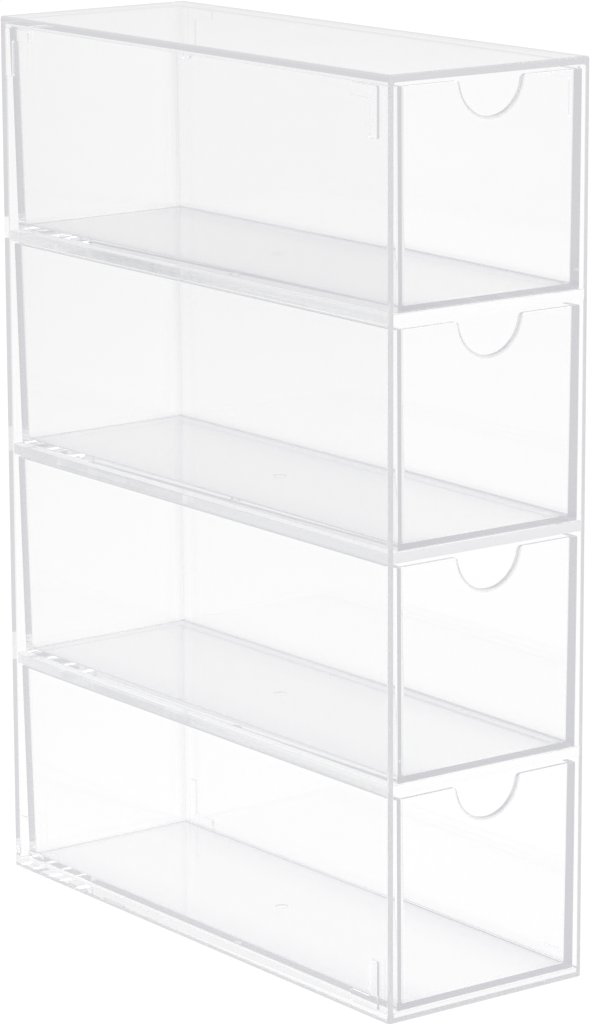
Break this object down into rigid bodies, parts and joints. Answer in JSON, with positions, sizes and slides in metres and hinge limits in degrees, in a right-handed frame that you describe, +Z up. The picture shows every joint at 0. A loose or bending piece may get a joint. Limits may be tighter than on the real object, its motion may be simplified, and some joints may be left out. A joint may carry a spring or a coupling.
{
  "type": "clear drawer case",
  "caption": "Narrow upright clear plastic case, open at the front, with stacked sliding drawers that have a half-round finger notch, for make-up, jewellery or glasses.",
  "frame": {"origin": "middle of the base's footprint, on the surface the case stands on", "axes": "+Z up, -Y out of the open front, the way the drawers pull, X across"},
  "size_m": [0.068, 0.18, 0.251],
  "materials": {
    "clear_case": "clear, polished mould finish",
    "clear_shelf": "clear sheet, polished edges",
    "clear_drawer": "clear, polished mould finish"
  },
  "bodies": {
    "case": {"case_shell": "clear_case", "lower_shelf": "clear_shelf", "middle_shelf": "clear_shelf", "upper_shelf": "clear_shelf"},
    "bottom_drawer": {"bottom_drawer": "clear_drawer"},
    "lower_drawer": {"lower_drawer": "clear_drawer"},
    "upper_drawer": {"upper_drawer": "clear_drawer"},
    "top_drawer": {"top_drawer": "clear_drawer"}
  },
  "joints": [
    {"name": "bottom_drawer_slide", "type": "slide", "parent": "case", "child": "bottom_drawer", "axis": [0, -1, 0], "range_m": [0, 0.15]},
    {"name": "lower_drawer_slide", "type": "slide", "parent": "case", "child": "lower_drawer", "axis": [0, -1, 0], "range_m": [0, 0.15]},
    {"name": "upper_drawer_slide", "type": "slide", "parent": "case", "child": "upper_drawer", "axis": [0, -1, 0], "range_m": [0, 0.15]},
    {"name": "top_drawer_slide", "type": "slide", "parent": "case", "child": "top_drawer", "axis": [0, -1, 0], "range_m": [0, 0.15]}
  ]
}
